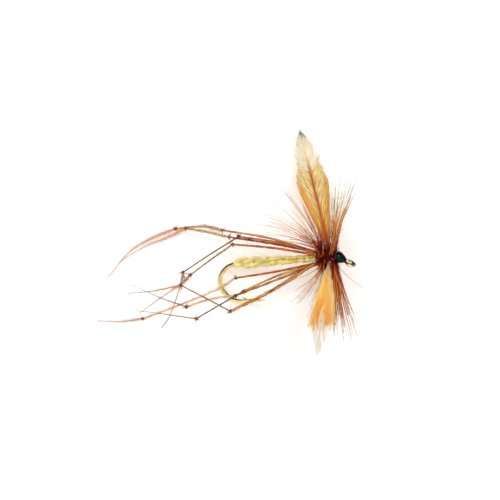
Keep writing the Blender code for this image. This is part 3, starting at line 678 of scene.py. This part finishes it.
def fibre(name, path, radii, flue, tint, body, node_name):
    """One length of a leg: the barb's shaft, a little uneven, and the flue along it. Painted shade
    darkens the shaft's colour along its two sides, by the cosine of the way round it."""
    uneven = 1.0 + 0.10 * np.sin(np.linspace(0.0, 40.0, len(path)) + chance.uniform(0, 6.3))
    shaft = strands(path, radii * uneven, 8, (0.0, 0.0, 1.0), start=shaft_map, spread=shaft_spread)
    length = np.linalg.norm(np.diff(path, axis=0), axis=1).sum()
    hairs = flue_hairs(path, radii, int(length / flue_spacing * min(flue, 1.0)) + 8,
                       flue_reach * flue ** 0.5)
    tree, shader, material = finish(name, roughness=0.5, specular_ior_level=0.25)
    streak = streaks(tree, 16.0, 9.0, chance.uniform(0, 9))
    turn = math.tau / shaft_spread
    # Painted shade: the round shaft is darker along its two sides.
    ring = calc(tree, "MULTIPLY_ADD", own_map(tree)["X"], turn, -turn * shaft_map)
    painted_edge_shade = calc(tree, "ABSOLUTE", calc(tree, "COSINE", ring))
    light = calc(tree, "MULTIPLY_ADD", painted_edge_shade, -0.30, streak)
    feed(shader, base_color=ramp(tree, light, (0.24, tint[0]), (0.52, tint[1])))
    roughen(shader, streak, 0.3, 0.00002)
    piece(name, gathered(name, shaft, hairs), material, body, "leg_fibre", node_name)


def overhand_knot(middle, way):
    """An overhand knot pulled tight: a trefoil, (sin t + 2 sin 2t, cos t - 2 cos 2t, -sin 3t),
    squeezed unevenly and lying across the fibre, with broken flue standing off it as spikes."""
    t = np.linspace(0.0, math.tau, 61)
    clover = np.stack([np.sin(t) + 2 * np.sin(2 * t), np.cos(t) - 2 * np.cos(2 * t),
                       -knot_height * np.sin(3 * t)], -1)
    clover *= (knot_radius - knot_fibre) / 3.0 * chance.uniform(0.75, 1.45, 3)
    across = unit(np.cross(way, [0.0, 0.0, 1.0]))
    axes = np.stack([way, across, np.cross(way, across)])
    lump = strands(middle + clover @ axes, knot_fibre, 8, axes[2] + 0.2 * axes[0], start=0.1,
                   spread=0.5)
    spin = chance.uniform(0.0, math.tau, spike_count)
    rise = chance.uniform(-0.5, 0.5, spike_count)
    ways = unit(np.stack([np.cos(spin), np.sin(spin), rise], -1) @ axes)
    step = np.linspace(0.0, 1.0, 4)[None, :, None]
    length = chance.uniform(0.15, 1.0, spike_count)[:, None, None] ** 1.5 * spike_reach
    spikes = middle + ways[:, None] * (0.4 * knot_radius + length * step)
    thorn = strands(spikes, spike_radius * (1.0 - 0.8 * step[..., 0]), 4, (0.1, 0.2, 1.0), start=0.7)
    return lump, thorn


tree, shader, knot_look = finish("tight_knot", roughness=0.55, specular_ior_level=0.35)
twist = mottle(tree, 4200.0)
feed(shader, base_color=ramp(tree, twist, (0.35, paint(84, 30, 16)), (0.66, paint(176, 88, 46))))
roughen(shader, twist, 0.4, 0.00003)
joint_place = {joint["name"]: np.array(joint["pos_m"]) for joint in frame["joints"]}
for number, route in enumerate(leg_routes, 1):
    leg = "leg_%d_" % number
    hip, knee = joint_place[leg + "hip"], joint_place[leg + "knee"]
    ankle, tip = np.array(route["ankle"]) * mm, np.array(route["tip"]) * mm
    crook = (hip + knee) / 2 + np.array([0.0, route["bow"] * mm, 0.0])
    femur = curve_through([hip, crook, knee], 40)
    shin = curve_through(lengthwise(knee, route["shin"], ankle), 30)
    foot = curve_through(lengthwise(ankle, route["foot"], tip), 36)
    for k, (name, path, thick, thin, body, node_name) in enumerate((
            ("femur", femur, femur_radius, 1.15 * shin_radius, "upper", "upper"),
            ("shin", shin, shin_radius, 1.1 * foot_radius, "lower", "middle"),
            ("foot", foot, foot_radius, end_radius, "lower", "tip"))):
        fibre(leg + name + "_fibre", path, np.linspace(thick, thin, len(path)), route["flue"][k],
              fibre_tints[route["looks"][k]], leg + body, leg + node_name)
    for name, before, after, body in (("knee", femur, shin, "upper"), ("ankle", shin, foot, "lower")):
        knot = gathered(leg + name + "_tie", *overhand_knot(after[0], unit(after[2] - before[-3])))
        piece(leg + name + "_tie", knot, knot_look, leg + body, "leg_knot", leg + name + "_knot")

# Leg wraps and wing wraps
# Tight turns of dark red silk. The rear band binds the eight leg butts to the shank and tapers
# forward; the short front band binds the wings' two quills between the hackles.
leg_wrap_rear, leg_wrap_front, leg_wrap_radius = -0.00173, -0.00091, 0.00118
wing_wrap_rear, wing_wrap_front, wing_wrap_radius = -0.00006, 0.00036, 0.00070
wrap_groove, wrap_round = 0.00003, 0.00004
quill_radius = 0.00075


def leg_band(q):
    """Full over the butts, then falling on a half cosine to the quill."""
    fall = 0.5 - 0.5 * np.cos(math.pi * np.clip((q - 0.15) / 0.85, 0.0, 1.0))
    return leg_wrap_radius + (quill_radius - leg_wrap_radius) * fall


def wing_band(q):
    """Full in the middle, lower towards both ends by the square of the way there."""
    return wing_wrap_radius - wrap_round * (2 * q - 1) ** 2


wrap_silk = thread_look("burgundy_silk", paint(48, 12, 8), paint(96, 34, 18), 0.2)
for name, rear, front, band in (("leg", leg_wrap_rear, leg_wrap_front, leg_band),
                                ("wing", wing_wrap_rear, wing_wrap_front, wing_band)):
    turns = gathered(name + "_binding", wound(rear, front, band, thread_pitch, wrap_groove))
    piece(name + "_binding", turns, wrap_silk, "fly_body", "tying_thread", name + "_wraps")

# Wings
# Two hackle points, the tips of cock's neck feathers, tied in by their stripped quills. Each has a
# springy rachis and two vanes of fine barbs that cling together and split here and there.
wing_length, wing_seat = 0.0192, 0.00075
rachis_radius, rachis_bow, rachis_rings, rachis_sides = 0.00016, 0.00012, 40, 8
vane_camber, vane_least, vane_scatter = 0.00030, 0.00010, 0.00003
vane_barbs, vane_barb_radius = 250, 0.000060
vane_foot, vane_run, vane_map = 0.03, 0.94, 0.96
far_aim, far_face = np.array([-4.4, 18.8, -5.3]), np.array([0.0, 0.30, 0.95])
near_aim, near_face = np.array([-2.2, -13.4, 13.6]), np.array([0.0, 0.68, 0.73])
far_shape = {"width": 0.0044, "full": 0.50, "closing": 3.0, "slant": 0.52, "notch": 0.64,
             "fan": 0.2, "clump": 8, "past": 0.024, "airy": 0.0}
near_shape = {"width": 0.0038, "full": 0.72, "closing": 0.6, "slant": 0.62, "notch": 0.55,
              "fan": 0.9, "clump": 14, "past": 0.0, "airy": 0.66}


def wing_axes(aim, face):
    """The wing's seat on its wraps, and its axes: across, along and out of the vane's face."""
    along = unit(aim)
    normal = unit(face - face @ along * along)
    out = unit(along - along @ shank_way * shank_way)
    middle = on_fly(wire_line((wing_wrap_rear + wing_wrap_front) / 2)[0])
    return middle + out * wing_seat, np.stack([np.cross(along, normal), along, normal])


def vane_half(q, shape):
    """Half the vane's width: it opens on a quarter sine to the share where it is full, and from
    there closes on a power to the tip."""
    full = shape["full"]
    opened = np.clip((q - 0.04) / (full - 0.04), 0.0, 1.0)
    closed = 1.0 - np.maximum((q - full) / (1.0 - full), 0.0) ** shape["closing"]
    return shape["width"] / 2 * np.sin(math.pi / 2 * opened) ** 0.9 * closed


def vane(hand, seat, axes, shape):
    """One side of the vane: long barbs that leave the rachis at a low slant, those from its foot
    the longest. A barb from share q ends on the outline; from the notch on, the barbs belong to
    the pale tip, may be thinner, and the last reach a little past the rachis. Barbs gather in
    clumps whose ends are drawn together, so that splits open."""
    count, notch, order = vane_barbs, shape["notch"], np.arange(vane_barbs)
    q = vane_foot + vane_run * (order + 0.5) / count
    cuts = np.sort(chance.choice(count, count // shape["clump"], replace=False))
    group = np.searchsorted(cuts, order)
    beside = order - (np.bincount(group, order) / np.maximum(np.bincount(group), 1))[group]
    low = 0.06 + shape["slant"] * np.maximum(1.0 - q / 0.8, 0.0) ** 1.5
    high = 0.22 * (1.0 - 0.75 * (q - notch) / (1.0 - notch))
    high = high * np.clip(0.35 + (q - notch) / 0.09, 0.0, 1.0)
    tip_q = q + np.where(q < notch, low, high) + chance.normal(0, 0.02, count)
    tip_end = 1.0 + shape["past"] * chance.uniform(0.3, 1.0, count)
    tip_q = np.minimum(tip_q - 0.55 * beside * vane_run / count, tip_end)
    inward = 1.0 - shape["fan"] * np.where(q < notch, q / notch, 0.0)
    reach = vane_half(np.minimum(tip_q, 0.999), shape) * inward
    reach = reach * chance.uniform(0.72, 1.08, count) + vane_least
    t = np.linspace(0.0, 1.0, 9)
    sideways = hand * reach[:, None] * (1.0 - (1.0 - t) ** 1.3)
    forward = (q[:, None] + (tip_q - q)[:, None] * t ** 1.1) * wing_length
    width = np.maximum(vane_half(forward / wing_length, shape), vane_least)
    arch = vane_camber * (1.0 - np.clip(sideways / width, -1, 1) ** 2)
    arch = arch * np.minimum(1.0, (1.0 - q)[:, None] * 4)
    arch = arch + chance.normal(0.0, vane_scatter, (count, 1)) * t
    arch = arch + vane_scatter * ((order % 3) - 1)[:, None]
    paths = seat + np.stack([sideways, forward, arch], -1) @ axes
    thick = vane_barb_radius * (1.0 - 0.6 * t ** 2) * (1.0 - shape["airy"] * (q[:, None] > notch))
    return strands(paths, thick, 4, axes[2], flat=0.3, start=q * vane_map, spread=0.006)


def feather(aim, face, shape):
    """Rachis and both vanes of one hackle point; the rachis thins evenly towards its tip. Its map
    runs on x, as the places where the barbs start do."""
    seat, axes = wing_axes(aim, face)
    q = np.linspace(0.0, 1.0, rachis_rings)
    line = np.stack([rachis_bow * np.sin(2.4 * q), q * wing_length,
                     vane_camber * np.minimum(q * 3, 1.0) * (1 - 0.7 * q)], -1)
    points, faces, places = strands(seat + line @ axes, rachis_radius * (1.0 - 0.86 * q),
                                    rachis_sides, axes[2], spread=0.0)
    around = np.tile(np.arange(rachis_sides) / 400.0, rachis_rings)
    rachis = points, faces, np.stack([vane_map * places[:, 1], around], -1)
    return rachis, vane(1.0, seat, axes, shape), vane(-1.0, seat, axes, shape)


def feather_look(name, rachis, streaked, faded, tip, *stops):
    """Hackle point: colour changes along the feather by where a barb starts, with fine streaks
    from barb to barb that fade in the pale end, an orange-brown line at the rachis and a tinted
    tip."""
    tree, shader, material = finish(name, roughness=0.5, specular_ior_level=0.2, sheen_weight=0.6,
                                    sheen_tint=(1.0, 0.90, 0.66, 1.0))
    axis, streak, band = own_map(tree), streaks(tree, 150.0, 2.0), streaks(tree, 26.0, 1.0, 4.0)
    station = calc(tree, "MULTIPLY_ADD", axis["Y"], 0.03, axis["X"])
    colour = ramp(tree, calc(tree, "MULTIPLY_ADD", band, 0.08, station), *stops)
    both = calc(tree, "MULTIPLY_ADD", streak, 0.6, calc(tree, "MULTIPLY", band, 0.4))
    shown = remap(tree, axis["X"], 0.60, 0.72, 1.0, faded)
    dark = calc(tree, "MULTIPLY", remap(tree, both, 0.48, 0.60), shown)
    colour = blended(tree, dark, colour, streaked)
    line = ramp(tree, axis["X"], (0.60, paint(204, 98, 10)), (0.70, paint(244, 202, 116)))
    colour = blended(tree, remap(tree, axis["Y"], 0.02, 0.20, rachis, 0.0), colour, line)
    end = calc(tree, "MULTIPLY_ADD", axis["Y"], 0.13, axis["X"])
    feed(shader, base_color=blended(tree, remap(tree, end, 0.89, 0.96), colour, tip))
    return material


far_look = feather_look("cream_tipped_point", 1.0, paint(212, 122, 22), 0.22, paint(104, 94, 84),
                        (0.0, paint(240, 84, 8)), (0.20, paint(255, 208, 100)),
                        (0.45, paint(255, 238, 164)), (0.64, paint(255, 230, 146)),
                        (0.66, paint(255, 246, 208)), (0.90, paint(255, 248, 218)))
near_look = feather_look("golden_point", 0.1, paint(248, 128, 0), 0.04, paint(255, 254, 240),
                         (0.0, paint(255, 246, 190)), (0.16, paint(255, 220, 112)),
                         (0.46, paint(255, 174, 28)), (0.60, paint(255, 240, 190)),
                         (0.70, paint(255, 253, 240)))
for name, aim, face, shape, look in (("far", far_aim, far_face, far_shape, far_look),
                                     ("near", near_aim, near_face, near_shape, near_look)):
    point = gathered(name + "_wing_feather", *feather(aim, face, shape))
    piece(name + "_wing_feather", point, look, "wing_" + name, "wing_feather", "wing_" + name)

# Hackles
# Two ginger cock hackles wound on edge, one behind the wings and one in front. The turns of quill
# lie side by side, and their stiff barbs stand out all round, dark at the roots, gold at the tips.
rear_hackle_span, front_hackle_span = (-0.00086, -0.00011), (0.00041, 0.00103)
quill_pitch, quill_groove, quill_seat, quill_inset = 0.00016, 0.00005, 0.00068, 0.00004
barb_reach, barb_thick, barb_rings, barb_sides = 0.0122, 0.000047, 11, 4
web_reach, web_thick, web_count, web_map = (0.0007, 0.0018), 0.000050, 850, 0.18
sweep_front, sweep_rear, upright_share = math.radians(-15.0), math.radians(46.0), 0.12
wing_sweep, wing_foot, wing_margin, barb_gap, web_gap = 0.12, 0.0001, 0.0003, 0.0006, 0.00028
golden_angle = 2.39996
worn_top, worn_low, worn_high = 0.5, 0.45, 0.25
front_scatter, rear_scatter = 0.12, 0.26
fore_stray_angle, fore_stray_lean, fore_stray_reach = 0.97 * math.pi, math.radians(-43.0), 0.0060
back_strays, back_stray_turn = 16, 2.7
back_stray_lean, back_stray_reach = (50.0, 76.0), (0.0060, 0.0098)


def clear_of_wings(paths, gap):
    """Which paths keep a gap from both wings, each flexed to either side by its sweep. Places are
    taken four to a step, and are near a wing where they lie over its vane, widened by the sweep."""
    steps = [paths[:, :-1] * (1.0 - part) + paths[:, 1:] * part for part in (0.0, 0.25, 0.5, 0.75)]
    fine = np.concatenate(steps, axis=1)
    clear = np.ones(len(paths), bool)
    for aim, face, shape in ((far_aim, far_face, far_shape), (near_aim, near_face, near_shape)):
        seat, axes = wing_axes(aim, face)
        across, along, off = np.moveaxis((fine - seat) @ axes.T, -1, 0)
        half = vane_half(np.clip(along / wing_length, 0.05, 0.999), shape)
        near = (along > -wing_foot) & (np.abs(across) < half + wing_sweep * along + wing_margin)
        clear &= ~(near & (np.abs(off - vane_camber / 2) < gap)).any(axis=1)
    return clear


def hackle_barbs(front, span, rows, count, gather, deep):
    """Barbs of one wound hackle. Each stands on the quill at a place along it and an angle round
    it; it leans so that the collar stands upright, and those that lie flat to either side are
    swept as well, forward in the front rows and back in the rear rows. The lean grows along the
    barb from 0.7 to 1.3 of its mean. Some are worn away on top, and at the rear on both sides. A
    barb that would pass through the board ends on it. More have gathered round one angle, by a
    spread and a count, and their red goes deeper. In the front hackle one barb has strayed forward
    under the head, and in the rear one a few lie far back. A barb that a wing or a leg would brush
    is plucked."""
    angle = (np.arange(count) * golden_angle + chance.uniform(-0.1, 0.1, count)) % math.tau
    share = chance.uniform(0.0, 1.0, count)
    angle = np.append(angle, chance.normal(*gather))
    share = np.append(share, chance.uniform(0.0, 0.45, gather[2]))
    full = np.where(np.arange(len(angle)) < count, 1.0, deep)
    top, aside = np.sin(angle + back_roll), np.cos(angle + back_roll)
    worn = np.where(top > 0.75, worn_top, 0.0)
    if not front:
        worn = worn + np.where(aside < -0.3, worn_low, np.where(aside > 0.3, worn_high, 0.0))
    stay = chance.random(len(angle)) > worn
    angle, share, full = angle[stay], share[stay], full[stay]
    count = len(angle)
    s = span[1] - quill_inset - (span[1] - span[0] - 2 * quill_inset) * share
    out = outwards(angle)
    leans_out = out @ shank_axes.T
    upright = np.arctan(leans_out[:, 0] / shank_axes[0, 0])
    flat = np.abs(np.cos(angle + back_roll)) ** 1.5
    scatter = front_scatter if front else rear_scatter
    row = rows[0] + (rows[1] - rows[0]) * share + chance.normal(0.0, scatter, count)
    sweep = sweep_front + (sweep_rear - sweep_front) * np.clip(row, -0.08, 1.55)
    lean = upright + sweep * (upright_share + (1.0 - upright_share) * flat)
    reach = barb_reach * chance.uniform(0.58, 1.04, count) ** 0.8
    reach *= 1.0 - 0.34 * np.clip(row, 0.0, 1.0) * np.maximum(-leans_out[:, 1], 0.0)
    if front:
        astray = np.argmin(np.abs(angle - fore_stray_angle))
        lean[astray], reach[astray] = fore_stray_lean, fore_stray_reach
    else:
        from_back = np.abs((angle + back_roll + back_stray_turn) % math.tau - math.pi)
        astray = np.argsort(from_back)[:back_strays]
        lean[astray] = np.radians(chance.uniform(*back_stray_lean, back_strays))
        reach[astray] = chance.uniform(*back_stray_reach, back_strays)
    t = np.linspace(0.0, 1.0, barb_rings)
    bent = (lean[:, None] * (0.7 + 0.6 * t))[..., None]
    step = out[:, None] * np.cos(bent) - np.array([1.0, 0, 0]) * np.sin(bent)
    twist = (chance.normal(0, 0.10, (count, 1)) * t)[..., None]
    step = step + np.cross([1.0, 0, 0], out)[:, None] * twist
    run = np.cumsum(step[:, :-1], axis=1) / (barb_rings - 1)
    run = np.concatenate([np.zeros((count, 1, 3)), run], axis=1) * reach[:, None, None]
    root = on_shank(s) + quill_seat * out
    sink = -(run[:, -1] @ shank_axes.T)[:, 2]
    drop = on_fly(root)[:, 2] - board_level - board_gap
    run *= np.where(sink > drop, drop / np.maximum(sink, 1e-9), 1.0)[:, None, None]
    paths = on_fly(root[:, None] + run)
    stay = clear_of_wings(paths, barb_gap) & clear_of_legs(paths)
    paths, full = paths[stay], full[stay]
    points, faces, places = strands(paths, barb_thick * (1.0 - 0.56 * t), barb_sides,
                                    shank_way + 0.1 * side_way,
                                    start=chance.uniform(0.0, 0.97, len(paths)))
    shown = np.stack([0 * full + 1.0, full], -1).repeat(barb_rings * barb_sides, axis=0)
    return points, faces, places * shown


def hackle_web(span, lean, count):
    """The soft short web at the foot of the barbs: curved hairs that stand out all round the quill,
    each leaning by its own chance angle, and none in a wing's way. Their map ends where the barbs
    are still dark."""
    angle = chance.uniform(0.0, math.tau, count)
    s = chance.uniform(*span, count)
    out = outwards(angle)
    across = np.cross([1.0, 0, 0], out)
    lean = chance.normal(lean, 0.28, count)[:, None]
    way = out * np.cos(lean) - np.array([1.0, 0, 0]) * np.sin(lean)
    way = way + across * chance.normal(0, 0.3, (count, 1))
    t = np.linspace(0.0, 1.0, 6)[None, :, None]
    reach = chance.uniform(*web_reach, count)[:, None, None]
    curl = 0.2 * across[:, None] * chance.normal(0, 1, (count, 1, 1)) * t ** 2
    paths = on_fly((on_shank(s) + quill_seat * out)[:, None] + reach * (way[:, None] * t + curl))
    paths = paths[clear_of_wings(paths, web_gap)]
    points, faces, places = strands(paths, web_thick * (1.0 - 0.7 * t[..., 0]), 3,
                                    shank_way + 0.1 * side_way,
                                    start=chance.uniform(0.0, 0.97, len(paths)))
    return points, faces, places * [1.0, web_map]


tree, shader, ginger = finish("ginger_cock_hackle", roughness=0.36, specular_ior_level=0.2)
streak = streaks(tree, 60.0, 1.5)
along = calc(tree, "MULTIPLY_ADD", streak, 0.6, own_map(tree)["Y"])
red = ramp(tree, calc(tree, "MULTIPLY", along, 0.75), (0.25, paint(92, 4, 4)),
           (0.35, paint(148, 28, 6)), (0.45, paint(188, 78, 12)), (0.56, paint(212, 130, 34)),
           (0.72, paint(212, 158, 70)), (1.0, paint(124, 98, 58)))
feed(shader, base_color=red, roughness=remap(tree, streak, 0.0, 1.0, 0.28, 0.5))
for name, span, rows, count, gather, deep in (
        ("rear", rear_hackle_span, (0.42, 1.0), 200, (0.40, 0.16, 28), 0.58),
        ("front", front_hackle_span, (0.0, 0.50), 280, (math.pi, 0.30, 54), 0.46)):
    points, faces, places = wound(*span, lambda q: np.full(len(q), quill_radius), quill_pitch,
                                  quill_groove)
    quill = points, faces, places * [0.9, 0.05]
    barbs = gathered(name + "_hackle_barbs", quill,
                     hackle_barbs(name == "front", span, rows, count, gather, deep),
                     hackle_web(span, 0.1 + 0.9 * rows[0], web_count))
    piece(name + "_hackle_barbs", barbs, ginger, "fly_body", "ginger_hackle", name + "_hackle")

# Head
# A cone of bottle-green silk, wound behind the eye and closed with a whip finish, under two coats
# of clear varnish that have drawn smooth over the turns.
head_rear, head_front = 0.00108, 0.00238
head_full, head_nose = 0.00079, 0.00046
head_pitch, head_groove = 0.00010, 0.00002
varnish, varnish_rear, varnish_front, varnish_ripple = 0.00008, 0.00118, 0.00276, 0.0000008


def head_radius(q):
    """Radius of the thread head from its rear, 0, to its nose, 1: the end of a quarter sine up to
    full, and from 0.3 on a fall by a power of the way to the nose."""
    swell = np.sin(math.pi / 2 * np.minimum(0.75 + q, 1.0))
    fall = np.maximum(q - 0.3, 0.0) / 0.7
    return head_full * swell + (head_nose - head_full) * fall ** 1.3


def varnish_skin():
    """The varnish: the head's radius and the coat's thickness, rounded in at the rear on a square
    root, drawn down to the eye's wire in front of the thread, with a faint ripple of the turns."""
    rings, sides = 90, 56
    s = np.linspace(varnish_rear, varnish_front, rings)
    share = (s - head_rear) / (head_front - head_rear)
    past = np.clip((s - head_front) / (varnish_front - head_front), 0.0, 1.0)
    turns = np.cos(math.tau * (s[:, None] / head_pitch - np.arange(sides) / sides))
    skin = head_radius(np.minimum(share, 1.0)) + varnish
    skin += (eye_wire_radius + varnish / 2 - skin) * past ** 0.8
    skin *= np.sqrt(np.clip(np.linspace(0.3, 8.0, rings), 0.0, 1.0))
    skin = skin[:, None] + varnish_ripple * turns
    skin[0], skin[-1] = wire_radius, eye_wire_radius
    return strands(on_fly(wire_line(s)[0]), skin[None], sides, side_way, spread=1.0)


green_silk = thread_look("green_silk", paint(8, 22, 12), paint(24, 56, 34), 0.3)
head_turns = gathered("head_turns", wound(head_rear, head_front, head_radius, head_pitch, head_groove))
piece("head_turns", head_turns, green_silk, "fly_body", "head_thread", "head_thread")
tree, shader, varnish_look = finish("green_varnish", roughness=0.20, specular_ior_level=0.22,
                                    specular_tint=(0.7, 1.0, 0.85, 1.0))
depth = mottle(tree, 1700.0)
feed(shader, base_color=ramp(tree, depth, (0.42, paint(1, 4, 3)), (0.66, paint(3, 22, 13))))
roughen(shader, depth, 0.06, 0.00003)
piece("head_coat", gathered("head_coat", varnish_skin()), varnish_look,
      "fly_body", "head_varnish", "head_varnish")
